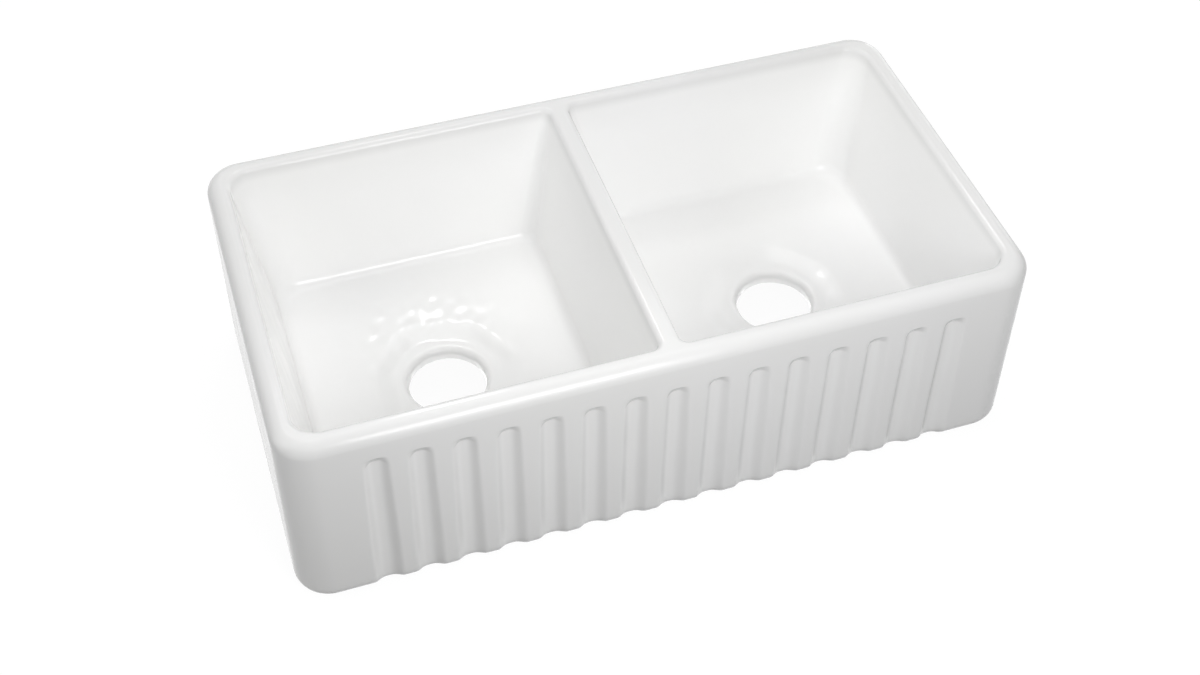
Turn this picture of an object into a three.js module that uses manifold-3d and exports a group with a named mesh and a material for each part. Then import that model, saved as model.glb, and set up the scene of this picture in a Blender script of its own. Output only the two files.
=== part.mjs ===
// Farmhouse kitchen sink with two bowls and a fluted apron front.
// The real sink is one fired piece of glazed fireclay. It is built here from its named
// bodies, which meet face to face: rim and divider rail, apron and skirt walls, bowls,
// dished floors and drain seats. Millimetres, +Z up. The origin is the middle of the base,
// and the apron front faces -Y.
import * as THREE from 'three';
import Module from 'manifold-3d';
import { mergeVertices } from 'three/addons/utils/BufferGeometryUtils.js';

const wasm = await Module();
wasm.setup();

// ---------------------------------------------------------------- driving dimensions
// Whole sink
const WIDTH = 838;
const DEPTH = 450;
const HEIGHT = 254;
const CORNER_RADIUS = 40;

// Rim: the crown that runs round both bowls
const RIM_WIDTH = 25;
const RIM_HEIGHT = 22;
const RIM_OUTER_ROUND = 16;
const RIM_INNER_ROUND = 7;
const DIVIDER_WIDTH = 24;
const RAIL_JOINT_SETBACK = 32;

// Skirt walls: apron, sides and back, with the foot that they stand on
const SKIRT_THICKNESS = 16;
const FOOT_WIDTH = 34;
const FOOT_HEIGHT = 22;
const FOOT_ROUND = 20;
const WALL_JOINT_MARGIN = 6;

// Flutes in the apron
const FLUTE_PITCH = 46;
const FLUTE_END_MARGIN = 50;
const FLUTE_TOP_GAP = 41.5;
const FLUTE_ARCH_RISE = 2.5;
const FLUTE_COVE_HEIGHT = 9;
const FLUTE_COVE_POWER = 2.5;
const FLUTE_WIDTH_AT_TOP = 28;
const FLUTE_WIDTH_AT_FOOT = 33;
const FLUTE_DEPTH_AT_TOP = 2.6;
const FLUTE_DEPTH_AT_FOOT = 4.6;
const FLUTE_FULL_DEPTH_LEVEL = 70;

// Bowls: each wall leans in by its own amount between the rim and the floor
const BOWL_DEPTH = 166;
const BOWL_THICKNESS = 14;
const SIDE_LEAN = 29.5;
const DIVIDER_LEAN = 34;
const BACK_LEAN = 35;
const FRONT_LEAN = 5;
const BOWL_CORNER_AT_RIM = 28;
const BOWL_CORNER_AT_FLOOR = 45;
const DIVIDER_CORNER_AT_RIM = 14;
const DIVIDER_CORNER_AT_FLOOR = 32;
const FLOOR_FILLET = 11;

// Floors and drains
const FLOOR_THICKNESS = 15;
const FLOOR_FALL = 7;
const DRAIN_DIAMETER = 89;
const DRAIN_LIP_ROUND = 5.5;
const DRAIN_FOOT_ROUND = 2;
const STRAINER_SEAT_DIAMETER = 116;
const STRAINER_SEAT_DROP = 5.5;
const SEAT_SLOPE_RUN = 8;
const SEAT_THICKNESS = 16;
const DRAIN_TOWARDS_FRONT = 6.35;
const DRAIN_TOWARDS_DIVIDER = 2.75;

// Facets, and the least radius that keeps the steps of a corner apart
const CORNER_STEPS = 6;
const EDGE_STEPS = 2;
const ROUND_STEPS = 5;
const COVE_STEPS = 5;
const FLUTE_STEPS = 6;
const DISH_STEPS = 4;
const LEAST_CORNER = 3;

// How far a cutting body reaches past what it cuts
const CUT_BEYOND = 1;

// Glaze
const GLAZE_COLOUR = 0xf2f2ef;
const GLAZE_ROUGHNESS = 0.12;

// ---------------------------------------------------------------- sizes worked out
const halfWidth = WIDTH / 2;
const halfDepth = DEPTH / 2;
const rimBottom = HEIGHT - RIM_HEIGHT;
const wallTop = HEIGHT - RIM_INNER_ROUND;
const floorLevel = HEIGHT - BOWL_DEPTH;
const floorMiddleLevel = floorLevel - FLOOR_FALL;
const seatLevel = floorMiddleLevel - STRAINER_SEAT_DROP;
const drainRadius = DRAIN_DIAMETER / 2;
const strainerSeatRadius = STRAINER_SEAT_DIAMETER / 2;
const seatOuterRadius = strainerSeatRadius + SEAT_SLOPE_RUN;
const cornerRun = Math.max(CORNER_RADIUS, FOOT_WIDTH) + WALL_JOINT_MARGIN;
const apronHalf = halfWidth - cornerRun;
const fluteTop = HEIGHT - FLUTE_TOP_GAP;
const fluteSpan = 2 * (halfWidth - CORNER_RADIUS - FLUTE_END_MARGIN);
const fluteCount = Math.floor(fluteSpan / FLUTE_PITCH) + 1;
const quarterTurn = Math.PI / 2;
const fullTurn = Math.PI * 2;

// ---------------------------------------------------------------- helpers
const lerp = THREE.MathUtils.lerp;

// Values from 0 to 1 in equal steps, both ends included.
function steps(count) {
  return Array.from({ length: count + 1 }, (unused, i) => i / count);
}

// A point on a quadratic curve that leaves a towards b and arrives at c from b.
function bend(a, b, c, t) {
  return (1 - t) * (1 - t) * a + 2 * t * (1 - t) * b + t * t * c;
}

// Turns a closed triangle mesh so that its faces point out.
function facingOut(positions, triangles) {
  let volume = 0;
  const corner = (i) => new THREE.Vector3().fromArray(positions, 3 * i);
  for (let i = 0; i < triangles.length; i += 3) {
    const a = corner(triangles[i]);
    const b = corner(triangles[i + 1]);
    const c = corner(triangles[i + 2]);
    volume += a.dot(b.cross(c));
  }
  return volume < 0 ? [...triangles].reverse() : triangles;
}

// Joins a list of point rings into one closed body. A looped list closes on its first
// ring, as round a hole; any other is shut by flat ends, cut up as the outline says.
function loft(rings, { looped = false, outline = null } = {}) {
  const count = rings[0].length;
  const positions = rings.flat().flatMap((point) => point.toArray());
  const triangles = [];
  const strips = looped ? rings.length : rings.length - 1;
  for (let i = 0; i < strips; i += 1) {
    const near = i * count;
    const far = ((i + 1) % rings.length) * count;
    for (let j = 0; j < count; j += 1) {
      const next = (j + 1) % count;
      triangles.push(near + j, near + next, far + next);
      triangles.push(near + j, far + next, far + j);
    }
  }
  if (!looped) {
    const last = (rings.length - 1) * count;
    for (const [a, b, c] of THREE.ShapeUtils.triangulateShape(outline, [])) {
      triangles.push(b, a, c);
      triangles.push(last + a, last + b, last + c);
    }
  }
  const geometry = new THREE.BufferGeometry();
  geometry.setAttribute('position', new THREE.Float32BufferAttribute(positions, 3));
  geometry.setIndex(facingOut(positions, triangles));
  return geometry;
}

// A ring of points round a rectangle with round corners at height z. The box gives its
// four sides, and radii its corners from front left, anticlockwise.
function rectangleRing(box, radii, z, edgeSteps = EDGE_STEPS) {
  const room = Math.min(box.x1 - box.x0, box.y1 - box.y0) / 2;
  const corners = [
    { x: box.x0, y: box.y0, inX: 1, inY: 1 },
    { x: box.x1, y: box.y0, inX: -1, inY: 1 },
    { x: box.x1, y: box.y1, inX: -1, inY: -1 },
    { x: box.x0, y: box.y1, inX: 1, inY: -1 },
  ];
  const arcs = corners.map((corner, i) => {
    const radius = THREE.MathUtils.clamp(radii[i], LEAST_CORNER, room);
    const centreX = corner.x + corner.inX * radius;
    const centreY = corner.y + corner.inY * radius;
    return steps(CORNER_STEPS).map((t) => {
      const angle = quarterTurn * (i + 2 + t);
      const x = centreX + radius * Math.cos(angle);
      const y = centreY + radius * Math.sin(angle);
      return new THREE.Vector3(x, y, z);
    });
  });
  return arcs.flatMap((arc, i) => {
    const from = arc[arc.length - 1];
    const to = arcs[(i + 1) % arcs.length][0];
    const edge = steps(edgeSteps).slice(1, -1).map((t) => from.clone().lerp(to, t));
    return [...arc, ...edge];
  });
}

// A circle with as many points as a rectangle ring, each facing its partner there: the
// middle of the first corner looks to the front left, half a quarter past -X.
function circleRing(centre, radius, z) {
  const count = 4 * (CORNER_STEPS + EDGE_STEPS);
  const step = fullTurn / count;
  const frontLeft = Math.PI + quarterTurn / 2;
  const start = frontLeft - (CORNER_STEPS / 2) * step;
  return Array.from({ length: count }, (unused, i) => {
    const angle = start + i * step;
    const x = centre.x + radius * Math.cos(angle);
    const y = centre.y + radius * Math.sin(angle);
    return new THREE.Vector3(x, y, z);
  });
}

function mirrored(rings, side) {
  return rings.map((ring) => ring.map((p) => new THREE.Vector3(side * p.x, p.y, p.z)));
}

function inset(box, by) {
  return { x0: box.x0 + by, x1: box.x1 - by, y0: box.y0 + by, y1: box.y1 - by };
}

function toManifold(geometry) {
  const bare = geometry.clone();
  bare.deleteAttribute('normal');
  bare.deleteAttribute('uv');
  const merged = mergeVertices(bare);
  return new wasm.Manifold(new wasm.Mesh({
    numProp: 3,
    vertProperties: new Float32Array(merged.attributes.position.array),
    triVerts: new Uint32Array(merged.index.array),
  }));
}

function fromManifold(solid) {
  const mesh = solid.getMesh();
  const geometry = new THREE.BufferGeometry();
  const positions = new THREE.BufferAttribute(mesh.vertProperties, 3);
  geometry.setAttribute('position', positions);
  geometry.setIndex(new THREE.BufferAttribute(mesh.triVerts, 1));
  return geometry;
}

// ---------------------------------------------------------------- inside of a bowl
// The inner face of the right-hand bowl at height z on its straight walls.
function wallBox(z) {
  const down = (wallTop - z) / (wallTop - floorLevel);
  return {
    x0: DIVIDER_WIDTH / 2 + DIVIDER_LEAN * down,
    x1: halfWidth - RIM_WIDTH - SIDE_LEAN * down,
    y0: -halfDepth + RIM_WIDTH + FRONT_LEAN * down,
    y1: halfDepth - RIM_WIDTH - BACK_LEAN * down,
  };
}

function wallRadii(z) {
  const down = (wallTop - z) / (wallTop - floorLevel);
  const outer = lerp(BOWL_CORNER_AT_RIM, BOWL_CORNER_AT_FLOOR, down);
  const inner = lerp(DIVIDER_CORNER_AT_RIM, DIVIDER_CORNER_AT_FLOOR, down);
  return [inner, outer, outer, inner];
}

// Where the fillet has run out on to the floor
const floorBox = inset(wallBox(floorLevel), FLOOR_FILLET);
const floorRadii = wallRadii(floorLevel).map((radius) => radius - FLOOR_FILLET);

const drainCentre = {
  x: (floorBox.x0 + floorBox.x1) / 2 - DRAIN_TOWARDS_DIVIDER,
  y: (floorBox.y0 + floorBox.y1) / 2 - DRAIN_TOWARDS_FRONT,
};

// The fillet ring at t, from the wall at 0 to the floor at 1. Grown by the thickness of
// the bowl it gives the outer face, whose last ring stands right under the inner one.
function filletRing(t, thickness) {
  const start = floorLevel + FLOOR_FILLET;
  const onWall = inset(wallBox(start), -thickness);
  const atFoot = inset(wallBox(floorLevel), -thickness);
  const box = {};
  for (const side of ['x0', 'x1', 'y0', 'y1']) {
    box[side] = bend(onWall[side], atFoot[side], floorBox[side], t);
  }
  box.y0 = Math.max(box.y0, -halfDepth + SKIRT_THICKNESS);
  const wall = wallRadii(start);
  const foot = wallRadii(floorLevel);
  const radii = floorRadii.map((radius, i) => (
    bend(wall[i] + thickness, foot[i] + thickness, radius, t)
  ));
  const low = floorLevel - (thickness > 0 ? FLOOR_THICKNESS : 0);
  return rectangleRing(box, radii, bend(start, low, low, t));
}

// The hollow of a bowl within the rim, flared by the round inner edge of the crown.
function rimHollow(side) {
  const below = rimBottom - CUT_BEYOND;
  const rings = [rectangleRing(wallBox(below), wallRadii(below), below)];
  for (const t of steps(ROUND_STEPS)) {
    const angle = quarterTurn * t;
    const flare = RIM_INNER_ROUND * (1 - Math.cos(angle));
    const z = wallTop + RIM_INNER_ROUND * Math.sin(angle);
    const radii = wallRadii(wallTop).map((radius) => radius + flare);
    rings.push(rectangleRing(inset(wallBox(wallTop), -flare), radii, z));
  }
  const mouth = rings[rings.length - 1];
  rings.push(mouth.map((p) => new THREE.Vector3(p.x, p.y, p.z + CUT_BEYOND)));
  const outline = rings[0].map((p) => new THREE.Vector2(p.x, p.y));
  return loft(mirrored(rings, side), { outline });
}

// ---------------------------------------------------------------- rim and divider rail
function rimPieces() {
  const whole = { x0: -halfWidth, x1: halfWidth, y0: -halfDepth, y1: halfDepth };
  const radii = (by) => Array(4).fill(CORNER_RADIUS - by);
  const rings = [rectangleRing(whole, radii(0), rimBottom)];
  for (const t of steps(ROUND_STEPS)) {
    const angle = quarterTurn * t;
    const by = RIM_OUTER_ROUND * (1 - Math.cos(angle));
    const z = HEIGHT - RIM_OUTER_ROUND * (1 - Math.sin(angle));
    rings.push(rectangleRing(inset(whole, by), radii(by), z));
  }
  const outline = rings[0].map((p) => new THREE.Vector2(p.x, p.y));
  const crown = toManifold(loft(rings, { outline }))
    .subtract(toManifold(rimHollow(1)))
    .subtract(toManifold(rimHollow(-1)));
  const railLength = 2 * (halfDepth - RIM_WIDTH - RAIL_JOINT_SETBACK);
  const blockWidth = 2 * DIVIDER_WIDTH;
  const blockHeight = 2 * (RIM_HEIGHT + CUT_BEYOND);
  const railBlock = new THREE.BoxGeometry(blockWidth, railLength, blockHeight);
  const block = toManifold(railBlock.translate(0, 0, HEIGHT));
  return {
    rim: fromManifold(crown.subtract(block)),
    rail: fromManifold(crown.intersect(block)),
  };
}

// ---------------------------------------------------------------- skirt walls
// How far the apron face is hollowed at x and z. Each flute is a cosine trough that widens
// and deepens towards the foot. Its upper end is a steep cove under a low arch.
function fluteDepth(x, z) {
  const middle = (fluteCount - 1) / 2;
  const index = THREE.MathUtils.clamp(Math.round(x / FLUTE_PITCH + middle), 0, fluteCount - 1);
  const centre = (index - middle) * FLUTE_PITCH;
  const run = fluteTop - FLUTE_FULL_DEPTH_LEVEL;
  const down = THREE.MathUtils.clamp((fluteTop - z) / run, 0, 1);
  const half = lerp(FLUTE_WIDTH_AT_TOP, FLUTE_WIDTH_AT_FOOT, down) / 2;
  const depth = lerp(FLUTE_DEPTH_AT_TOP, FLUTE_DEPTH_AT_FOOT, down);
  const reach = Math.min(1, Math.abs(x - centre) / half);
  const under = fluteTop - FLUTE_ARCH_RISE * reach * reach - z;
  const share = THREE.MathUtils.clamp(under / FLUTE_COVE_HEIGHT, 0, 1);
  const cove = 1 - (1 - share) ** FLUTE_COVE_POWER;
  return depth * cove * (1 + Math.cos(Math.PI * reach)) / 2;
}

// The upright section of a wall, as distance in from the face and height. Points on the
// face are marked, because flutes move only those.
function wallSection(faceLevels) {
  const section = faceLevels.map((z) => ({ in: 0, z, face: true }));
  for (const t of steps(ROUND_STEPS)) {
    const angle = quarterTurn * t;
    const by = FOOT_ROUND * (1 - Math.cos(angle));
    const z = FOOT_ROUND * (1 - Math.sin(angle));
    section.push({ in: by, z, face: true });
  }
  section.push({ in: FOOT_WIDTH, z: 0, face: false });
  section.push({ in: FOOT_WIDTH, z: FOOT_HEIGHT, face: false });
  section.push({ in: SKIRT_THICKNESS, z: FOOT_HEIGHT + FOOT_WIDTH - SKIRT_THICKNESS, face: false });
  section.push({ in: SKIRT_THICKNESS, z: rimBottom, face: false });
  return section;
}

// Sweeps a wall section through its stations, each of which places one section point.
function sweepWall(section, stations) {
  const rings = stations.map((place) => section.map(place));
  const outline = section.map((p) => new THREE.Vector2(p.in, p.z));
  return loft(rings, { outline });
}

function apronWall() {
  const coveFoot = fluteTop - FLUTE_ARCH_RISE - FLUTE_COVE_HEIGHT;
  const cove = steps(COVE_STEPS).map((t) => lerp(fluteTop, coveFoot, t * t));
  const levels = [rimBottom, ...cove, FLUTE_FULL_DEPTH_LEVEL];
  const middle = (fluteCount - 1) / 2;
  const across = [-apronHalf];
  for (let i = 0; i < fluteCount; i += 1) {
    for (const t of steps(FLUTE_STEPS)) {
      across.push((i - middle) * FLUTE_PITCH + (t - 0.5) * FLUTE_WIDTH_AT_FOOT);
    }
  }
  across.push(apronHalf);
  const stations = across.map((x) => (p) => {
    const hollow = p.face ? fluteDepth(x, p.z) : 0;
    return new THREE.Vector3(x, -halfDepth + p.in + hollow, p.z);
  });
  return sweepWall(wallSection(levels), stations);
}

function backWall() {
  const stations = [-apronHalf, apronHalf].map((x) => (p) => (
    new THREE.Vector3(x, halfDepth - p.in, p.z)
  ));
  return sweepWall(wallSection([rimBottom]), stations);
}

// A side wall with the upright corners at both its ends.
function sideWall(side) {
  const corner = (end, t) => (p) => {
    const radius = Math.max(CORNER_RADIUS - p.in, LEAST_CORNER);
    const angle = quarterTurn * t;
    const x = halfWidth - p.in - radius * (1 - Math.sin(angle));
    const y = halfDepth - p.in - radius * (1 - Math.cos(angle));
    return new THREE.Vector3(side * x, end * y, p.z);
  };
  const tail = (end) => (p) => new THREE.Vector3(side * apronHalf, end * (halfDepth - p.in), p.z);
  const turns = steps(CORNER_STEPS);
  const stations = [
    tail(-1),
    ...turns.map((t) => corner(-1, t)),
    ...turns.reverse().map((t) => corner(1, t)),
    tail(1),
  ];
  return sweepWall(wallSection([rimBottom]), stations);
}

// ---------------------------------------------------------------- bowls and drains
// The walls and fillets of a bowl, hung from the underside of the rim.
function bowlWalls(side) {
  const start = floorLevel + FLOOR_FILLET;
  const inner = [rimBottom, lerp(rimBottom, start, 0.5)].map((z) => (
    rectangleRing(wallBox(z), wallRadii(z), z)
  ));
  inner.push(...steps(ROUND_STEPS).map((t) => filletRing(t, 0)));
  const outer = steps(ROUND_STEPS).map((t) => filletRing(t, BOWL_THICKNESS)).reverse();
  const root = {
    x0: 0,
    x1: halfWidth - SKIRT_THICKNESS,
    y0: -halfDepth + SKIRT_THICKNESS,
    y1: halfDepth - SKIRT_THICKNESS,
  };
  const wide = RIM_WIDTH - SKIRT_THICKNESS;
  const rootRadii = wallRadii(rimBottom).map((radius) => radius + wide);
  outer.push(rectangleRing(root, rootRadii, rimBottom));
  return loft(mirrored([...inner, ...outer], side), { looped: true });
}

// The dished floor between the fillets and the drain seat, level at both its edges.
function bowlFloor(side) {
  const rectangle = rectangleRing(floorBox, floorRadii, 0);
  const circle = circleRing(drainCentre, seatOuterRadius, 0);
  const dish = (t, drop) => rectangle.map((p, i) => {
    const point = p.clone().lerp(circle[i], t);
    point.z = floorLevel - FLOOR_FALL * THREE.MathUtils.smoothstep(t, 0, 1) - drop;
    return point;
  });
  const top = steps(DISH_STEPS).map((t) => dish(t, 0));
  const under = steps(DISH_STEPS).reverse().map((t) => dish(t, FLOOR_THICKNESS));
  return loft(mirrored([...top, ...under], side), { looped: true });
}

// The ring round the drain hole: a slope down to the flat that a strainer flange beds on,
// a round lip, the bore and the flat underside.
function drainSeat(side) {
  const under = seatLevel - SEAT_THICKNESS;
  const profile = [
    { r: seatOuterRadius, z: floorMiddleLevel },
    { r: strainerSeatRadius, z: seatLevel },
  ];
  for (const t of steps(ROUND_STEPS)) {
    const angle = quarterTurn * t;
    const r = drainRadius + DRAIN_LIP_ROUND * (1 - Math.sin(angle));
    profile.push({ r, z: seatLevel - DRAIN_LIP_ROUND * (1 - Math.cos(angle)) });
  }
  profile.push({ r: drainRadius, z: under + DRAIN_FOOT_ROUND });
  profile.push({ r: drainRadius + DRAIN_FOOT_ROUND, z: under });
  profile.push({ r: seatOuterRadius, z: under });
  const rings = profile.map((p) => circleRing(drainCentre, p.r, p.z));
  return loft(mirrored(rings, side), { looped: true });
}

// ---------------------------------------------------------------- the assembly
const group = new THREE.Group();

function add(name, geometry) {
  const material = new THREE.MeshStandardMaterial({
    color: GLAZE_COLOUR,
    roughness: GLAZE_ROUGHNESS,
    metalness: 0,
  });
  const mesh = new THREE.Mesh(geometry, material);
  mesh.name = name;
  group.add(mesh);
}

const crown = rimPieces();
add('rim', crown.rim);
add('divider_rail', crown.rail);
add('fluted_apron', apronWall());
add('back_wall', backWall());
for (const [name, side] of [['left', -1], ['right', 1]]) {
  add(`${name}_wall`, sideWall(side));
  add(`${name}_bowl`, bowlWalls(side));
  add(`${name}_floor`, bowlFloor(side));
  add(`${name}_drain_seat`, drainSeat(side));
}

export default group;
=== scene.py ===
"""Looks of a white farmhouse sink with two bowls and a fluted apron front.

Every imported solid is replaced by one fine, closed mesh of the same form, in metres and in
the same frame: the base stands on z = 0 and the apron faces -Y. The meshes share their
seams point by point and normal by normal, so the sink reads as one fired piece.
"""

import math

import bmesh
import bpy
import numpy as np
from mathutils import Matrix, Vector


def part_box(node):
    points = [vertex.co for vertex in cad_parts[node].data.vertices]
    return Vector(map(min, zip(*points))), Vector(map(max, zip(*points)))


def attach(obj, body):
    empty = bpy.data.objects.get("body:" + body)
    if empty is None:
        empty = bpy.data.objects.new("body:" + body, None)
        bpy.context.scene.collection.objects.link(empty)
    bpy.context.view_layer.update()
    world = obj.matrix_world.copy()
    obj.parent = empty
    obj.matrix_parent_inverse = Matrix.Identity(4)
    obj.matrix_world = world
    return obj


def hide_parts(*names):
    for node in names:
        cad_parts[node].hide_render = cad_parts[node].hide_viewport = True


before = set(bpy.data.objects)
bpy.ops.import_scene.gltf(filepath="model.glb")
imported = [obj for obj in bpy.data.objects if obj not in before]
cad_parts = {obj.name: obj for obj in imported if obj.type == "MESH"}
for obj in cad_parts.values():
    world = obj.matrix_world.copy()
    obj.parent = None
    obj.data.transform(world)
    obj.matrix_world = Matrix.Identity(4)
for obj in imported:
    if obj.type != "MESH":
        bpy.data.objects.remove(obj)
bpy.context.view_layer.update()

# ---------------------------------------------------------------- sizes from the frame
rim_low, rim_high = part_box("rim")
apron_low, apron_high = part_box("fluted_apron")
rail_low, rail_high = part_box("divider_rail")
floor_low, floor_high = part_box("right_floor")
seat_low, seat_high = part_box("right_drain_seat")

HALF_WIDTH = rim_high.x
HALF_DEPTH = rim_high.y
HEIGHT = rim_high.z
RIM_BOTTOM = rim_low.z
APRON_HALF = apron_high.x
RAIL_HALF = rail_high.y
FLOOR_LEVEL = floor_high.z
SEAT_UNDER = seat_low.z
DRAIN_MIDDLE = (seat_low + seat_high) / 2
SEAT_OUTER = (seat_high.x - seat_low.x) / 2
FLOOR_MIDDLE_LEVEL = seat_high.z

# ---------------------------------------------------------------- form of the sink
CORNER_RADIUS = 0.040
RIM_WIDTH = 0.025
RIM_OUTER_ROUND = 0.016
RIM_INNER_ROUND = 0.007
DIVIDER_WIDTH = 0.024

SKIRT_THICKNESS = 0.016
FOOT_WIDTH = 0.034
FOOT_HEIGHT = 0.022
FOOT_ROUND = 0.020

FLUTE_COUNT = 15
FLUTE_PITCH = 0.046
FLUTE_TOP_GAP = 0.0425
FLUTE_TOP_DRIFT = 0.0075
FLUTE_ARCH_RISE = 0.0035
FLUTE_COVE_HEIGHT = 0.0115
FLUTE_COVE_POWER = 1.15
FLUTE_WIDTH_AT_TOP = 0.028
FLUTE_WIDTH_AT_FOOT = 0.034
FLUTE_DEPTH_AT_TOP = 0.0060
FLUTE_DEPTH_AT_FOOT = 0.0082
FLUTE_FULLNESS_AT_TOP = 1.7
FLUTE_FULLNESS_AT_FOOT = 1.4
FLUTE_FULL_DEPTH_LEVEL = 0.070
FLUTE_SHARE_AT_EDGE = 0.42

BOWL_THICKNESS = 0.014
SIDE_LEAN = 0.0295
DIVIDER_LEAN = 0.034
BACK_LEAN = 0.035
FRONT_LEAN = 0.005
BOWL_CORNER_AT_RIM = 0.028
BOWL_CORNER_AT_FLOOR = 0.034
DIVIDER_CORNER_AT_RIM = 0.010
DIVIDER_CORNER_AT_FLOOR = 0.017
FLOOR_FILLET = 0.011
CORNER_FILLET = 0.017
CORNER_FILLET_REACH = 0.070
FLOOR_THICKNESS = 0.015
DISH_SPREAD = 0.5

DRAIN_RADIUS = 0.0445
DRAIN_LIP_ROUND = 0.0085
DRAIN_FOOT_ROUND = 0.002
STRAINER_SEAT_RADIUS = 0.058
STRAINER_SEAT_DROP = 0.0055
FUNNEL_RADIUS = 0.088
# The edge of the funnel wanders by this share, in waves: turns, share and start of each
FUNNEL_WAVE = 0.035
FUNNEL_WAVES = ((3, 1.0, 0.6), (7, 0.7, 2.0))

# Slow waves that the glaze left in the floor of the left bowl, behind its drain. Each has
# the way it runs, its length as a share of the main one, and its start
RIPPLE_HEIGHT = 0.00034
RIPPLE_LENGTH = 0.022
RIPPLES = (
    (0.3, 1.0, 0.4),
    (1.4, 1.2, 2.1),
    (2.5, 0.85, 4.0),
    (0.9, 1.35, 1.0),
    (2.0, 0.8, 3.0),
)
RIPPLE_MIDDLE = (-0.205, 0.045)
RIPPLE_REACH = 0.125

# ---------------------------------------------------------------- fineness of the meshes
CORNER_STEPS = 18
EDGE_STEPS = 66
RAIL_STEPS = 24
ROUND_STEPS = 10
WALL_STEPS = 10
FILLET_STEPS = 10
DISH_STEPS = 36
FLUTE_STEPS = 32
COVE_STEPS = 30
LAND_STEPS = 2
FLANK_STEPS = 26
DRAIN_FOOT_STEPS = 3
LEAST_CORNER = 0.003
COVE_MARGIN = 0.001
# How far the stations round the drain are spread evenly, and the least and the most of the
# divider side of a bowl that may lie past an end of the rail
EVEN_SHARE = 0.35
LEAST_END_SHARE = 0.01
MOST_END_SHARE = 0.2
# Edges sharper than the angle stay hard, points that fall on one place of the grid are
# joined, and the weight keeps the ends of a cut through a flat band near y = 0
SHARP_ANGLE = math.radians(35)
POINTS_PER_METRE = 1e7
LEVEL_WEIGHT = 10

# ---------------------------------------------------------------- tones
GLAZE_IOR = 1.5
GLAZE_TONE = 0.95
# Painted shade: between the two heights below, the glaze colour falls to this on the crown
# of the rim, so the top of the rim reads less bright under the lamps
CROWN_PAINTED_SHADE_TONE = 0.85
CROWN_SHADE_LOW = 0.236
CROWN_SHADE_HIGH = 0.250
GLAZE_SHINE = 0.3
PEEL_STRENGTH = 0.006
PEEL_DISTANCE = 0.001
# Each noise: waves per metre, detail, and the two values that it is spread between
TONE_DRIFT = (7.0, 3.0, 0.988, 1.0)
BLUE_DRIFT = (3.0, 2.0, 0.990, 1.0)
GLOSS_DRIFT = (22.0, 4.0, 0.08, 0.16)
PEEL = (160.0, 2.0, 0.0, 1.0)
NOISE_LOW = 0.3
NOISE_HIGH = 0.7
FLOOR_TONE = 0.08
FLOOR_WHITE = 0.95

# ---------------------------------------------------------------- sizes worked out
WALL_TOP = HEIGHT - RIM_INNER_ROUND
WALL_FALL = WALL_TOP - FLOOR_LEVEL
MOUTH_ANGLE = math.atan2(DIVIDER_LEAN, WALL_FALL)
FLOOR_FALL = FLOOR_LEVEL - FLOOR_MIDDLE_LEVEL
SEAT_LEVEL = FLOOR_MIDDLE_LEVEL - STRAINER_SEAT_DROP
FLUTE_TOP = HEIGHT - FLUTE_TOP_GAP
QUARTER = math.pi / 2


def lerp(a, b, t):
    return a + (b - a) * t


def smoothstep(t):
    t = np.clip(t, 0, 1)
    return t * t * (3 - 2 * t)


def fractions(count):
    """Values from 0 to 1 in equal steps, both ends included."""
    return [i / count for i in range(count + 1)]


def bend(a, b, c, t):
    """A point on a quadratic curve that leaves a towards b and arrives at c from b."""
    return (1 - t) ** 2 * a + 2 * t * (1 - t) * b + t * t * c


def grown(box, by):
    """A box (x0, x1, y0, y1) with each side moved out."""
    return (box[0] - by, box[1] + by, box[2] - by, box[3] + by)


# ---------------------------------------------------------------- rings
def edge_fractions(low, high):
    """Stations on the divider side of a bowl, two of them where the rail is cut."""
    span = high - low
    first = min(max((high - RAIL_HALF) / span, LEAST_END_SHARE), MOST_END_SHARE)
    last = max(min((high + RAIL_HALF) / span, 1 - LEAST_END_SHARE), 1 - MOST_END_SHARE)
    return [lerp(first, last, t) for t in fractions(RAIL_STEPS)]


def rectangle_ring(box, radii, z):
    """Points round a rectangle with round corners, from front left, anticlockwise."""
    x0, x1, y0, y1 = box
    room = min(x1 - x0, y1 - y0) / 2
    corners = [(x0, y0, 1, 1), (x1, y0, -1, 1), (x1, y1, -1, -1), (x0, y1, 1, -1)]
    arcs = []
    for i, (x, y, in_x, in_y) in enumerate(corners):
        radius = min(max(radii[i], LEAST_CORNER), room)
        angles = QUARTER * (i + 2 + np.array(fractions(CORNER_STEPS)))
        centre = np.array([x + in_x * radius, y + in_y * radius])
        arc = centre + radius * np.stack([np.cos(angles), np.sin(angles)], axis=1)
        arcs.append(arc)
    points = []
    for i, arc in enumerate(arcs):
        start, end = arc[-1], arcs[(i + 1) % 4][0]
        if i == 3:
            along = edge_fractions(end[1], start[1])
        else:
            along = fractions(EDGE_STEPS)[1:-1]
        points.append(arc)
        points.append(np.array([lerp(start, end, t) for t in along]))
    flat = np.concatenate(points)
    return np.column_stack([flat, np.full(len(flat), z)])


RING_COUNT = 4 * (CORNER_STEPS + 1) + 3 * (EDGE_STEPS - 1) + RAIL_STEPS + 1
RAIL_START = RING_COUNT - RAIL_STEPS - 1


def circle_ring(radius, z, facing):
    """A ring round the drain whose points look the same way as those of another ring."""
    middle = np.array([DRAIN_MIDDLE.x, DRAIN_MIDDLE.y])
    flat = middle + radius * facing
    return np.column_stack([flat, np.full(len(flat), z)])


# ---------------------------------------------------------------- inside of a bowl
def wall_box(z):
    down = (WALL_TOP - z) / WALL_FALL
    return (
        DIVIDER_WIDTH / 2 + DIVIDER_LEAN * down,
        HALF_WIDTH - RIM_WIDTH - SIDE_LEAN * down,
        -HALF_DEPTH + RIM_WIDTH + FRONT_LEAN * down,
        HALF_DEPTH - RIM_WIDTH - BACK_LEAN * down,
    )


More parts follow.
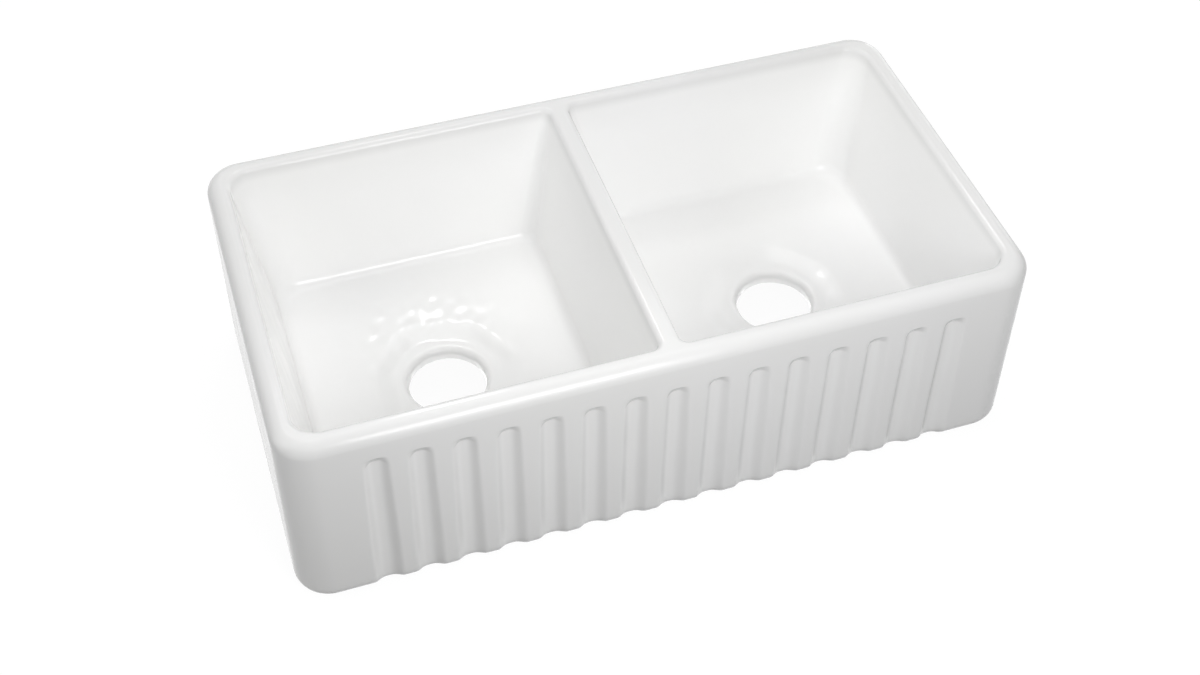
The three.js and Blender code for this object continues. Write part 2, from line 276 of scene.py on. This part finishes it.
def wall_radii(z):
    down = (WALL_TOP - z) / WALL_FALL
    outer = lerp(BOWL_CORNER_AT_RIM, BOWL_CORNER_AT_FLOOR, down)
    inner = lerp(DIVIDER_CORNER_AT_RIM, DIVIDER_CORNER_AT_FLOOR, down)
    return [inner, outer, outer, inner]


FOOT_BOX = wall_box(FLOOR_LEVEL)
FOOT_RING = rectangle_ring(FOOT_BOX, wall_radii(FLOOR_LEVEL), FLOOR_LEVEL)
TOP_RING = rectangle_ring(wall_box(WALL_TOP), wall_radii(WALL_TOP), WALL_TOP)


def wall_ring(z):
    """Points of the walls at height z, which may differ from point to point."""
    down = (WALL_TOP - np.broadcast_to(z, len(TOP_RING))) / WALL_FALL
    return lerp(TOP_RING, FOOT_RING, down[:, None])


def inward(ring):
    """Level unit vectors that point into a ring."""
    along = np.roll(ring, -1, axis=0) - np.roll(ring, 1, axis=0)
    turned = np.column_stack([-along[:, 1], along[:, 0], np.zeros(len(ring))])
    return turned / np.linalg.norm(turned, axis=1, keepdims=True)


def fillet_sizes():
    """The fillet at each point of the foot: it grows into the two outer corners."""
    x, y = FOOT_RING[:, 0], FOOT_RING[:, 1]
    near = np.minimum(np.hypot(FOOT_BOX[1] - x, FOOT_BOX[2] - y),
                      np.hypot(FOOT_BOX[1] - x, FOOT_BOX[3] - y))
    share = smoothstep(1 - near / CORNER_FILLET_REACH)
    return lerp(FLOOR_FILLET, CORNER_FILLET, share)


FILLETS = fillet_sizes()


def dish_drop(x, y):
    """How far the floor lies under the foot of its walls: level there and at the drain."""
    x0, x1, y0, y1 = FOOT_BOX
    across = np.maximum((x - x0) * (x1 - x), 1e-12) / (x1 - x0)
    along = np.maximum((y - y0) * (y1 - y), 1e-12) / (y1 - y0)
    edge = across * along / np.hypot(across, along)
    away = np.hypot(x - DRAIN_MIDDLE.x, y - DRAIN_MIDDLE.y) - SEAT_OUTER
    share = edge / (edge + DISH_SPREAD * np.maximum(away, 0))
    funnel = funnel_drop(x - DRAIN_MIDDLE.x, y - DRAIN_MIDDLE.y)
    return FLOOR_FALL * smoothstep(share) + funnel


def funnel_drop(x, y):
    """How far the floor falls to the strainer seat, on a slope with a slightly wavy edge.
    x and y are measured from the middle of the drain."""
    turn = np.arctan2(y, x)
    wave = 0
    for turns, share, start in FUNNEL_WAVES:
        wave = wave + share * np.sin(turns * turn + start)
    distance = np.hypot(x, y) * (1 + FUNNEL_WAVE * wave)
    slope = (FUNNEL_RADIUS - distance) / (FUNNEL_RADIUS - STRAINER_SEAT_RADIUS)
    return STRAINER_SEAT_DROP * smoothstep(slope)


def ripple(x, y):
    """How high the waves of the glaze stand at places on the floor of the left bowl."""
    off = np.hypot(x - RIPPLE_MIDDLE[0], y - RIPPLE_MIDDLE[1])
    away = np.hypot(np.abs(x) - DRAIN_MIDDLE.x, y - DRAIN_MIDDLE.y) - STRAINER_SEAT_RADIUS
    share = smoothstep(1 - off / RIPPLE_REACH) * smoothstep(away / RIPPLE_LENGTH)
    wave = 0
    for turn, length, start in RIPPLES:
        along = x * math.cos(turn) + y * math.sin(turn)
        wave = wave + np.sin(2 * math.pi * along / (RIPPLE_LENGTH * length) + start)
    return RIPPLE_HEIGHT * share * wave / 2


def dished(ring):
    ring = ring.copy()
    ring[:, 2] -= dish_drop(ring[:, 0], ring[:, 1])
    return ring


def fillet_ring(t):
    """From the wall at 0 to the floor at 1."""
    start = wall_ring(FLOOR_LEVEL + FILLETS)
    end = FOOT_RING + inward(FOOT_RING) * FILLETS[:, None]
    return dished(bend(start, FOOT_RING, end, t))


def shell_ring(t):
    """The hidden outer face of the bowl, from its wall at 0 to under the floor at 1."""
    start = FLOOR_LEVEL + BOWL_THICKNESS
    wall = grown(wall_box(start), BOWL_THICKNESS)
    foot = grown(FOOT_BOX, BOWL_THICKNESS)
    inner = grown(FOOT_BOX, -FLOOR_FILLET)
    box = [bend(a, b, c, t) for a, b, c in zip(wall, foot, inner)]
    box[2] = max(box[2], -HALF_DEPTH + SKIRT_THICKNESS)
    radii = [radius + BOWL_THICKNESS * (1 - t) for radius in wall_radii(FLOOR_LEVEL)]
    low = FLOOR_LEVEL - FLOOR_THICKNESS
    return rectangle_ring(box, radii, bend(start, low, low, t))


def bowl_stack():
    """Rings of the right bowl from its mouth to the underside of its drain."""
    rings, marks = [], {}
    for t in fractions(ROUND_STEPS):
        angle = lerp(QUARTER, MOUTH_ANGLE, t)
        flare = RIM_INNER_ROUND * (1 - math.cos(angle))
        radii = [radius + flare for radius in wall_radii(WALL_TOP)]
        z = WALL_TOP + RIM_INNER_ROUND * math.sin(angle)
        rings.append(rectangle_ring(grown(wall_box(WALL_TOP), flare), radii, z))
    rings.append(wall_ring(RIM_BOTTOM))
    marks["rim_bottom"] = len(rings) - 1
    for t in fractions(WALL_STEPS)[1:-1]:
        rings.append(wall_ring(lerp(RIM_BOTTOM, FLOOR_LEVEL + FILLETS, t)))
    for t in fractions(FILLET_STEPS):
        rings.append(fillet_ring(t))
    marks["floor_edge"] = len(rings) - 1

    rectangle = rings[-1]
    middle = np.array([DRAIN_MIDDLE.x, DRAIN_MIDDLE.y])
    spread = rectangle[:, :2] - middle
    angles = np.unwrap(np.arctan2(spread[:, 1], spread[:, 0]))
    even = np.linspace(0, 2 * math.pi, RING_COUNT, endpoint=False) + angles[0]
    angles = lerp(angles, even, EVEN_SHARE)
    facing = np.stack([np.cos(angles), np.sin(angles)], axis=1)
    circle = circle_ring(SEAT_OUTER, FLOOR_LEVEL, facing)
    for t in fractions(DISH_STEPS)[1:]:
        ring = lerp(rectangle, circle, t)
        ring[:, 2] = FLOOR_LEVEL
        rings.append(dished(ring))
    marks["seat_edge"] = len(rings) - 1

    for t in fractions(ROUND_STEPS)[1:]:
        radius = lerp(SEAT_OUTER, STRAINER_SEAT_RADIUS, t)
        ring = circle_ring(radius, FLOOR_MIDDLE_LEVEL, facing)
        ring[:, 2] -= funnel_drop(*(ring[:, :2] - middle).T)
        rings.append(ring)
    marks["lip"] = len(rings)
    for t in fractions(ROUND_STEPS):
        angle = QUARTER * t
        radius = DRAIN_RADIUS + DRAIN_LIP_ROUND * (1 - math.sin(angle))
        z = SEAT_LEVEL - DRAIN_LIP_ROUND * (1 - math.cos(angle))
        rings.append(circle_ring(radius, z, facing))
    for t in fractions(DRAIN_FOOT_STEPS):
        angle = QUARTER * t
        radius = DRAIN_RADIUS + DRAIN_FOOT_ROUND * (1 - math.cos(angle))
        z = SEAT_UNDER + DRAIN_FOOT_ROUND * (1 - math.sin(angle))
        rings.append(circle_ring(radius, z, facing))
    marks["drain_foot"] = len(rings) - 1
    rings.append(circle_ring(SEAT_OUTER, SEAT_UNDER, facing))
    marks["seat_under"] = len(rings) - 1
    return np.array(rings), marks


# ---------------------------------------------------------------- outside of the sink
def flute_depth(x, z):
    """How far the apron face is hollowed: cosine troughs that end in a cove under a low
    arch. Towards the left end of the apron the tops drift up."""
    middle = (FLUTE_COUNT - 1) / 2
    index = np.clip(np.round(x / FLUTE_PITCH + middle), 0, FLUTE_COUNT - 1)
    centre = (index - middle) * FLUTE_PITCH
    top = FLUTE_TOP + FLUTE_TOP_DRIFT * np.maximum(0, -centre) / (middle * FLUTE_PITCH)
    down = np.clip((top - z) / (top - FLUTE_FULL_DEPTH_LEVEL), 0, 1)
    half = lerp(FLUTE_WIDTH_AT_TOP, FLUTE_WIDTH_AT_FOOT, down) / 2
    depth = lerp(FLUTE_DEPTH_AT_TOP, FLUTE_DEPTH_AT_FOOT, down)
    depth = depth * lerp(FLUTE_SHARE_AT_EDGE, 1, smoothstep(z / FOOT_ROUND))
    reach = np.minimum(1, np.abs(x - centre) / half)
    share = np.clip((top - FLUTE_ARCH_RISE * reach ** 2 - z) / FLUTE_COVE_HEIGHT, 0, 1)
    cove = 1 - (1 - share) ** FLUTE_COVE_POWER
    fullness = lerp(FLUTE_FULLNESS_AT_TOP, FLUTE_FULLNESS_AT_FOOT, down)
    return depth * cove * (1 + np.cos(math.pi * reach ** fullness)) / 2


def perimeter():
    """Stations round the sink from the left end of the apron, anticlockwise. Each is a
    point on the face, the way in from it, and the radius of the corner it is on."""
    stations = []
    pitch = FLUTE_PITCH / FLUTE_STEPS
    first = -(FLUTE_COUNT / 2) * FLUTE_PITCH
    inner = [first + i * pitch for i in range(FLUTE_COUNT * FLUTE_STEPS + 1)]
    across = [-APRON_HALF, *inner, APRON_HALF]
    marks = {"front_left": 0}
    for x in across:
        stations.append((x, -HALF_DEPTH, 0, 1))
    marks["front_right"] = len(stations) - 1
    reach_x = HALF_WIDTH - CORNER_RADIUS
    reach_y = HALF_DEPTH - CORNER_RADIUS
    quarters = [(1, -1, -QUARTER), (1, 1, 0), (-1, 1, QUARTER), (-1, -1, 2 * QUARTER)]
    for number, (side, end, start) in enumerate(quarters):
        for t in fractions(CORNER_STEPS):
            angle = start + QUARTER * t
            c, s = math.cos(angle), math.sin(angle)
            x = side * reach_x + CORNER_RADIUS * c
            y = end * reach_y + CORNER_RADIUS * s
            stations.append((x, y, -c, -s))
        if number in (0, 2):
            for t in fractions(EDGE_STEPS)[1:-1]:
                x = side * HALF_WIDTH
                y = lerp(-side * reach_y, side * reach_y, t)
                stations.append((x, y, -side, 0))
        if number == 1:
            marks["back_right"] = len(stations)
            for t in fractions(2 * EDGE_STEPS):
                stations.append((lerp(APRON_HALF, -APRON_HALF, t), HALF_DEPTH, 0, -1))
            marks["back_left"] = len(stations) - 1
    return np.array(stations), marks


def outside_section():
    """The upright outer section from the crown to the inner side of the wall: distance
    in from the face, height, and whether the flutes move the point."""
    section = []
    for t in fractions(ROUND_STEPS):
        angle = QUARTER * (1 - t)
        by = RIM_OUTER_ROUND * (1 - math.cos(angle))
        z = HEIGHT - RIM_OUTER_ROUND * (1 - math.sin(angle))
        section.append((by, z, 0))
    section.append((0, RIM_BOTTOM, 1))
    marks = {"rim_bottom": len(section) - 1}
    highest = FLUTE_TOP + FLUTE_TOP_DRIFT + COVE_MARGIN
    cove_foot = FLUTE_TOP - FLUTE_ARCH_RISE - FLUTE_COVE_HEIGHT
    section += [(0, lerp(RIM_BOTTOM, highest, t), 1) for t in fractions(LAND_STEPS)[1:]]
    section += [(0, lerp(highest, cove_foot, t), 1) for t in fractions(COVE_STEPS)[1:]]
    section += [(0, lerp(cove_foot, FOOT_ROUND, t), 1) for t in fractions(FLANK_STEPS)[1:]]
    for t in fractions(ROUND_STEPS)[1:]:
        angle = QUARTER * t
        by = FOOT_ROUND * (1 - math.cos(angle))
        section.append((by, FOOT_ROUND * (1 - math.sin(angle)), 1))
    marks["foot"] = len(section) - 1
    section.append((FOOT_WIDTH, 0, 0))
    section.append((FOOT_WIDTH, FOOT_HEIGHT, 0))
    section.append((SKIRT_THICKNESS, FOOT_HEIGHT + FOOT_WIDTH - SKIRT_THICKNESS, 0))
    section.append((SKIRT_THICKNESS, RIM_BOTTOM, 0))
    return section, marks


def outside_stack():
    """Rings round the outside of the sink from the top of the crown down."""
    stations, station_marks = perimeter()
    section, section_marks = outside_section()
    x, y, in_x, in_y = stations.T
    on_front = (in_x == 0) & (in_y == 1)
    rings = []
    for by, z, fluted in section:
        deep = by + flute_depth(x, z) * on_front * fluted
        rings.append(np.column_stack([x + in_x * deep, y + in_y * deep, np.full(len(x), z)]))
    return np.array(rings), station_marks, section_marks


def grid_normals(grid, wrap):
    """Unit normals of a grid of points, rings first; the second axis may close up."""
    down = np.gradient(grid, axis=0)
    if wrap:
        along = np.roll(grid, -1, axis=1) - np.roll(grid, 1, axis=1)
    else:
        along = np.gradient(grid, axis=1)
    normal = np.cross(along, down)
    return normal / np.maximum(np.linalg.norm(normal, axis=2, keepdims=True), 1e-12)


# ---------------------------------------------------------------- pieces
class Piece:
    """Collects points and faces, and the normals that smooth faces take."""

    def __init__(self, name):
        self.name = name
        self.points = []
        self.index = {}
        self.faces = []
        self.normals = []

    def point(self, p):
        key = tuple(round(float(v) * POINTS_PER_METRE) for v in p)
        if key not in self.index:
            self.index[key] = len(self.points)
            self.points.append(tuple(float(v) for v in p))
        return self.index[key]

    def face(self, points, normals=None):
        corners = [self.point(p) for p in points]
        keep = [i for i, c in enumerate(corners) if c != corners[i - 1]]
        if len(keep) < 3 or len({corners[i] for i in keep}) < len(keep):
            return
        self.faces.append([corners[i] for i in keep])
        taken = {}
        if normals is not None:
            taken = {corners[i]: tuple(float(v) for v in normals[i]) for i in keep}
        self.normals.append(taken)

    def grid(self, points, normals=None, wrap=False):
        """Quads between neighbouring rings."""
        rows, columns = points.shape[:2]
        for i in range(rows - 1):
            for j in range(columns if wrap else columns - 1):
                k = (j + 1) % columns
                at = [(i, j), (i + 1, j), (i + 1, k), (i, k)]
                chosen = None if normals is None else [normals[a] for a in at]
                self.face([points[a] for a in at], chosen)

    def flat(self, outline, normal=None):
        """One flat face."""
        self.face(outline, None if normal is None else [normal] * len(outline))

    def flat_band(self, outline, hole, normal=None):
        """A flat face with a hole, as a front and a back half."""
        outline, hole = np.array(outline), np.array(hole)
        outer = [middle_of_side(outline, side) for side in (1, -1)]
        inner = [middle_of_side(hole, side) for side in (1, -1)]
        for one, other in ((0, 1), (1, 0)):
            way = stretch(outline, outer[one], outer[other])
            back = stretch(hole, inner[one], inner[other])[::-1]
            self.flat([*way, *back], normal)


def middle_of_side(loop, side):
    """The place in a loop, half way along its depth, that is furthest to that side."""
    return int(np.argmax(side * loop[:, 0] - LEVEL_WEIGHT * np.abs(loop[:, 1])))


def stretch(loop, first, last):
    """The points of a loop from one place to another, both included."""
    count = len(loop)
    return loop[[(first + i) % count for i in range((last - first) % count + 1)]]


def build(piece, node, material):
    """Makes the object of a piece and lets it stand for its node."""
    bm = bmesh.new()
    points = [bm.verts.new(p) for p in piece.points]
    for face in piece.faces:
        bm.faces.new([points[i] for i in face])
    bmesh.ops.recalc_face_normals(bm, faces=bm.faces)
    mesh = bpy.data.meshes.new(piece.name)
    bm.to_mesh(mesh)
    bm.free()
    mesh.polygons.foreach_set("use_smooth", [True] * len(mesh.polygons))
    mesh.set_sharp_from_angle(angle=SHARP_ANGLE)
    corner_points = [loop.vertex_index for loop in mesh.loops]
    normals = []
    for polygon in mesh.polygons:
        taken = piece.normals[polygon.index]
        normals += [taken.get(corner_points[i], (0, 0, 0)) for i in polygon.loop_indices]
    mesh.normals_split_custom_set(normals)
    mesh.materials.append(material)
    obj = bpy.data.objects.new(piece.name, mesh)
    bpy.context.scene.collection.objects.link(obj)
    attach(obj, "root")
    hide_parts(node)
    return obj


def mirrored(grid, side):
    """The stack for the left bowl is the right one mirrored, its rings turned round."""
    if side > 0:
        return grid
    turned = grid[:, ::-1].copy()
    turned[:, :, 0] *= -1
    return turned


right_inside, inside_marks = bowl_stack()
inside = {side: mirrored(right_inside, side).copy() for side in (-1, 1)}
inside_normals = {}
for side, rings in inside.items():
    rows = rings[inside_marks["floor_edge"]:inside_marks["lip"]]
    rows[:, :, 2] += ripple(rows[:, :, 0], rows[:, :, 1])
    inside_normals[side] = grid_normals(rings, wrap=True)
    inside_normals[side][0] = (0, 0, 1)
outside, station_marks, section_marks = outside_stack()
outside_normals = -grid_normals(outside, wrap=True)
outside_normals[0] = (0, 0, 1)
outside_normals[section_marks["foot"]] = (0, 0, -1)
RIM_ROWS = inside_marks["rim_bottom"] + 1
OUT_ROWS = section_marks["rim_bottom"] + 1


def rail_span(side):
    """First and last place of the rail in a mouth ring of that side."""
    if side > 0:
        return RAIL_START, RING_COUNT - 1
    return 0, RAIL_STEPS


def rim_piece():
    piece = Piece("rim_glaze")
    piece.grid(outside[:OUT_ROWS], outside_normals[:OUT_ROWS], wrap=True)
    holes = {}
    for side in (-1, 1):
        rings = inside[side][:RIM_ROWS]
        normals = inside_normals[side][:RIM_ROWS]
        first, last = rail_span(side)
        order = [(last + i) % RING_COUNT for i in range(RING_COUNT - (last - first))]
        order.append(first)
        piece.grid(rings[:, order], normals[:, order])
        holes[side] = rings[:, order]
    top = [*holes[1][0], *holes[-1][0]]
    low = [*holes[1][-1], *holes[-1][-1]]
    piece.flat_band(outside[0], top, (0, 0, 1))
    piece.flat_band(outside[OUT_ROWS - 1], low)
    for end in (1, -1):
        right = holes[1][:, 0 if end < 0 else -1]
        left = holes[-1][:, -1 if end < 0 else 0]
        piece.flat([*right, *left[::-1]])
    return piece


def rail_piece():
    piece = Piece("divider_rail_glaze")
    spans = {}
    for side in (-1, 1):
        rings = inside[side][:RIM_ROWS]
        normals = inside_normals[side][:RIM_ROWS]
        first, last = rail_span(side)
        spans[side] = rings[:, first:last + 1]
        piece.grid(spans[side], normals[:, first:last + 1])
    piece.flat([*spans[1][0], *spans[-1][0]], normal=(0, 0, 1))
    piece.flat([*spans[1][-1], *spans[-1][-1]])
    for end in (1, -1):
        right = spans[1][:, 0 if end > 0 else -1]
        left = spans[-1][:, -1 if end > 0 else 0]
        piece.flat([*right, *left[::-1]])
    return piece


def wall_piece(name, first, last):
    """A stretch of the skirt wall between two stations, from the rim down."""
    count = outside.shape[1]
    order = [(first + i) % count for i in range((last - first) % count + 1)]
    rings = outside[OUT_ROWS - 1:, order]
    normals = outside_normals[OUT_ROWS - 1:, order]
    foot = section_marks["foot"] - OUT_ROWS + 2
    piece = Piece(name)
    piece.grid(rings[:foot], normals[:foot])
    closed = np.concatenate([rings[foot - 1:], rings[:1]])
    piece.grid(closed)
    for end in (0, -1):
        piece.flat(rings[:, end])
    return piece


def bowl_piece(side):
    piece = Piece(("left" if side < 0 else "right") + "_bowl_glaze")
    start, stop = inside_marks["rim_bottom"], inside_marks["floor_edge"] + 1
    face = inside[side][start:stop]
    normals = inside_normals[side][start:stop]
    piece.grid(face, normals, wrap=True)
    outer = [shell_ring(t) for t in fractions(FILLET_STEPS)][::-1]
    root = (
        0,
        HALF_WIDTH - SKIRT_THICKNESS,
        -HALF_DEPTH + SKIRT_THICKNESS,
        HALF_DEPTH - SKIRT_THICKNESS,
    )
    wide = RIM_WIDTH - SKIRT_THICKNESS
    root_radii = [radius + wide for radius in wall_radii(RIM_BOTTOM)]
    outer.append(rectangle_ring(root, root_radii, RIM_BOTTOM))
    shell = mirrored(np.array(outer), side)
    piece.grid(np.concatenate([face[-1:], shell, face[:1]]), wrap=True)
    return piece


def floor_piece(side):
    piece = Piece(("left" if side < 0 else "right") + "_floor_glaze")
    start, stop = inside_marks["floor_edge"], inside_marks["seat_edge"] + 1
    face = inside[side][start:stop]
    normals = inside_normals[side][start:stop]
    piece.grid(face, normals, wrap=True)
    under = face[::-1] - np.array([0, 0, FLOOR_THICKNESS])
    piece.grid(np.concatenate([face[-1:], under, face[:1]]), wrap=True)
    return piece


def seat_piece(side):
    piece = Piece(("left" if side < 0 else "right") + "_drain_seat_glaze")
    start, stop = inside_marks["seat_edge"], inside_marks["drain_foot"] + 1
    face = inside[side]
    normals = inside_normals[side]
    piece.grid(face[start:stop], normals[start:stop], wrap=True)
    piece.grid(np.concatenate([face[stop - 1:], face[start:start + 1]]), wrap=True)
    return piece


# ---------------------------------------------------------------- materials
def nodes_of(name):
    material = bpy.data.materials.new(name)
    material.use_nodes = True
    tree = material.node_tree
    tree.nodes.clear()
    return material, tree


def glaze():
    """White glaze over fireclay: glossy, with painted shade that makes it less white on the
    crown, a faint drift of tone, uneven gloss and a fine orange-peel."""
    material, tree = nodes_of("white_glaze")
    new, link = tree.nodes.new, tree.links.new
    output = new("ShaderNodeOutputMaterial")
    shader = new("ShaderNodeBsdfPrincipled")
    place = new("ShaderNodeTexCoord")

    def noise(scale, detail, low, high):
        """Noise of that many waves per metre, spread between a low and a high value."""
        cells = new("ShaderNodeTexNoise")
        cells.inputs["Scale"].default_value = scale
        cells.inputs["Detail"].default_value = detail
        link(place.outputs["Object"], cells.inputs["Vector"])
        spread = new("ShaderNodeMapRange")
        spread.inputs["From Min"].default_value = NOISE_LOW
        spread.inputs["From Max"].default_value = NOISE_HIGH
        spread.inputs["To Min"].default_value = low
        spread.inputs["To Max"].default_value = high
        link(cells.outputs[0], spread.inputs["Value"])
        return spread.outputs[0]

    parts = new("ShaderNodeSeparateXYZ")
    link(place.outputs["Object"], parts.inputs[0])
    # Painted shade: the colour darkens with height over the crown of the rim
    crown = new("ShaderNodeMapRange")
    crown.interpolation_type = "SMOOTHSTEP"
    crown.inputs["From Min"].default_value = CROWN_SHADE_LOW
    crown.inputs["From Max"].default_value = CROWN_SHADE_HIGH
    crown.inputs["To Min"].default_value = GLAZE_TONE
    crown.inputs["To Max"].default_value = CROWN_PAINTED_SHADE_TONE
    link(parts.outputs["Z"], crown.inputs["Value"])
    toned = new("ShaderNodeMath")
    toned.operation = "MULTIPLY"
    link(crown.outputs[0], toned.inputs[0])
    link(noise(*TONE_DRIFT), toned.inputs[1])
    colour = new("ShaderNodeCombineColor")
    for channel in ("Red", "Green"):
        link(toned.outputs[0], colour.inputs[channel])
    cool = new("ShaderNodeMath")
    cool.operation = "MULTIPLY"
    link(toned.outputs[0], cool.inputs[0])
    link(noise(*BLUE_DRIFT), cool.inputs[1])
    link(cool.outputs[0], colour.inputs["Blue"])
    link(colour.outputs[0], shader.inputs["Base Color"])
    link(noise(*GLOSS_DRIFT), shader.inputs["Roughness"])
    peel = new("ShaderNodeBump")
    peel.inputs["Strength"].default_value = PEEL_STRENGTH
    peel.inputs["Distance"].default_value = PEEL_DISTANCE
    link(noise(*PEEL), peel.inputs["Height"])
    link(peel.outputs[0], shader.inputs["Normal"])
    shader.inputs["IOR"].default_value = GLAZE_IOR
    shader.inputs["Specular IOR Level"].default_value = GLAZE_SHINE
    link(shader.outputs[0], output.inputs["Surface"])
    return material


def seen(tree):
    """One where the eye or a reflection looks, and nothing where light is gathered."""
    path = tree.nodes.new("ShaderNodeLightPath")
    sight = path.outputs["Is Camera Ray"]
    for kind in ("Is Glossy Ray", "Is Transmission Ray"):
        either = tree.nodes.new("ShaderNodeMath")
        either.operation = "MAXIMUM"
        tree.links.new(sight, either.inputs[0])
        tree.links.new(path.outputs[kind], either.inputs[1])
        sight = either.outputs[0]
    return sight


def floor_material():
    """A pale floor that the eye and reflections see as white, and that keeps the shadow."""
    material, tree = nodes_of("pale_floor")
    new, link = tree.nodes.new, tree.links.new
    output = new("ShaderNodeOutputMaterial")
    strength = new("ShaderNodeMath")
    strength.operation = "MULTIPLY"
    strength.inputs[1].default_value = FLOOR_WHITE
    link(seen(tree), strength.inputs[0])
    pale = new("ShaderNodeBsdfDiffuse")
    pale.inputs["Color"].default_value = (FLOOR_TONE, FLOOR_TONE, FLOOR_TONE, 1)
    white = new("ShaderNodeEmission")
    link(strength.outputs[0], white.inputs["Strength"])
    both = new("ShaderNodeAddShader")
    link(pale.outputs[0], both.inputs[0])
    link(white.outputs[0], both.inputs[1])
    link(both.outputs[0], output.inputs["Surface"])
    return material


# ---------------------------------------------------------------- the sink
white = glaze()
build(rim_piece(), "rim", white)
build(rail_piece(), "divider_rail", white)
stretches = {
    "fluted_apron": ("front_left", "front_right"),
    "right_wall": ("front_right", "back_right"),
    "back_wall": ("back_right", "back_left"),
    "left_wall": ("back_left", "front_left"),
}
for node, (first, last) in stretches.items():
    piece = wall_piece(node + "_glaze", station_marks[first], station_marks[last])
    build(piece, node, white)
for side, name in ((-1, "left"), (1, "right")):
    build(bowl_piece(side), name + "_bowl", white)
    build(floor_piece(side), name + "_floor", white)
    build(seat_piece(side), name + "_drain_seat", white)


# ---------------------------------------------------------------- stage, camera and light
STAGE_REACH = 12.0


def make_floor():
    mesh = bpy.data.meshes.new("studio_floor")
    ways = ((-1, -1), (1, -1), (1, 1), (-1, 1))
    corners = [(x * STAGE_REACH, y * STAGE_REACH, 0) for x, y in ways]
    mesh.from_pydata(corners, [], [(0, 1, 2, 3)])
    mesh.materials.append(floor_material())
    obj = bpy.data.objects.new("studio_floor", mesh)
    bpy.context.scene.collection.objects.link(obj)


# The camera was fitted to the photograph: pixels, radians and metres
IMAGE_WIDTH = 1200
IMAGE_HEIGHT = 675
SENSOR = 36.0
FOCAL_PIXELS = 1754.467
CENTRE_PIXEL = (627.312, 231.378)
VIEW_AZIMUTH = -0.34657
VIEW_ELEVATION = 0.76869
VIEW_ROLL = 0.02496
VIEW_DISTANCE = 1.979241
VIEW_TARGET = (0.020255, 0, 0.22568)


def make_camera():
    azimuth, elevation = VIEW_AZIMUTH, VIEW_ELEVATION
    back = Vector((
        math.sin(azimuth) * math.cos(elevation),
        -math.cos(azimuth) * math.cos(elevation),
        math.sin(elevation),
    ))
    level = (-back).cross(Vector((0, 0, 1))).normalized()
    upright = level.cross(-back)
    right = math.cos(VIEW_ROLL) * level + math.sin(VIEW_ROLL) * upright
    up = math.cos(VIEW_ROLL) * upright - math.sin(VIEW_ROLL) * level
    data = bpy.data.cameras.new("camera")
    data.sensor_width = SENSOR
    data.lens = FOCAL_PIXELS / IMAGE_WIDTH * SENSOR
    data.shift_x = (IMAGE_WIDTH / 2 - CENTRE_PIXEL[0]) / IMAGE_WIDTH
    data.shift_y = (CENTRE_PIXEL[1] - IMAGE_HEIGHT / 2) / IMAGE_WIDTH
    camera = bpy.data.objects.new("camera", data)
    place = Vector(VIEW_TARGET) + back * VIEW_DISTANCE
    turn = Matrix((right, up, back)).transposed().to_4x4()
    camera.matrix_world = Matrix.Translation(place) @ turn
    bpy.context.scene.collection.objects.link(camera)
    bpy.context.scene.camera = camera


SINK_MIDDLE = (0, 0, 0.15)
DRAIN_X = DRAIN_MIDDLE.x
DRAIN_Y = DRAIN_MIDDLE.y

# Area lamps: place, target, width and watts. The two under the drains stand for the light
# that a white table throws up through the holes.
LAMPS = {
    "overhead": ((0.0, 0.0, 2.2), SINK_MIDDLE, 2.0, 5.5),
    "overhead_back": ((0.0, 0.7, 2.0), SINK_MIDDLE, 1.2, 8.0),
    "back": ((0.0, 1.8, 1.5), SINK_MIDDLE, 1.6, 6.5),
    "back_left": ((-1.5, 1.4, 1.4), SINK_MIDDLE, 0.9, 1.0),
    "back_right": ((1.5, 1.4, 1.4), SINK_MIDDLE, 0.9, 3.8),
    "left_side": ((-1.9, 0.0, 1.2), SINK_MIDDLE, 1.2, 6.0),
    "left_low": ((-1.6, 0.0, 0.35), (-0.4, 0, 0.2), 0.8, 2.8),
    "front_middle": ((0.05, -1.3, 1.15), SINK_MIDDLE, 0.6, 8.5),
    "front_near": ((0.08, -0.9, 1.0), SINK_MIDDLE, 0.5, 1.0),
    "front_low": ((0.08, -1.3, 0.7), SINK_MIDDLE, 0.6, 3.7),
    "glints": ((0.0, 1.0, 1.68), (-0.2, 0, 0.1), 0.2, 1.8),
    "right_low": ((1.5, 1.1, 0.4), (0.4, 0, 0.2), 0.8, 3.5),
    "under_left": ((-DRAIN_X, DRAIN_Y, 0.01), (-DRAIN_X, DRAIN_Y, 0.1), 0.1, 0.05),
    "under_right": ((DRAIN_X, DRAIN_Y, 0.01), (DRAIN_X, DRAIN_Y, 0.1), 0.1, 0.05),
}
WORLD_STRENGTH = 0.13


def make_lights():
    for name, (place, target, size, power) in LAMPS.items():
        data = bpy.data.lights.new(name, "AREA")
        data.shape = "SQUARE"
        data.size = size
        data.energy = power
        lamp = bpy.data.objects.new(name, data)
        lamp.visible_camera = False
        lamp.location = place
        aim = Vector(target) - Vector(place)
        lamp.rotation_mode = "QUATERNION"
        lamp.rotation_quaternion = aim.to_track_quat("-Z", "Y")
        bpy.context.scene.collection.objects.link(lamp)
    world = bpy.data.worlds.new("studio")
    world.use_nodes = True
    tree = world.node_tree
    background = tree.nodes["Background"]
    background.inputs["Color"].default_value = (1, 1, 1, 1)
    strength = tree.nodes.new("ShaderNodeMath")
    strength.operation = "MAXIMUM"
    strength.inputs[1].default_value = WORLD_STRENGTH
    tree.links.new(seen(tree), strength.inputs[0])
    tree.links.new(strength.outputs[0], background.inputs["Strength"])
    bpy.context.scene.world = world


make_floor()
make_camera()
make_lights()
bpy.context.scene.view_settings.view_transform = "Standard"
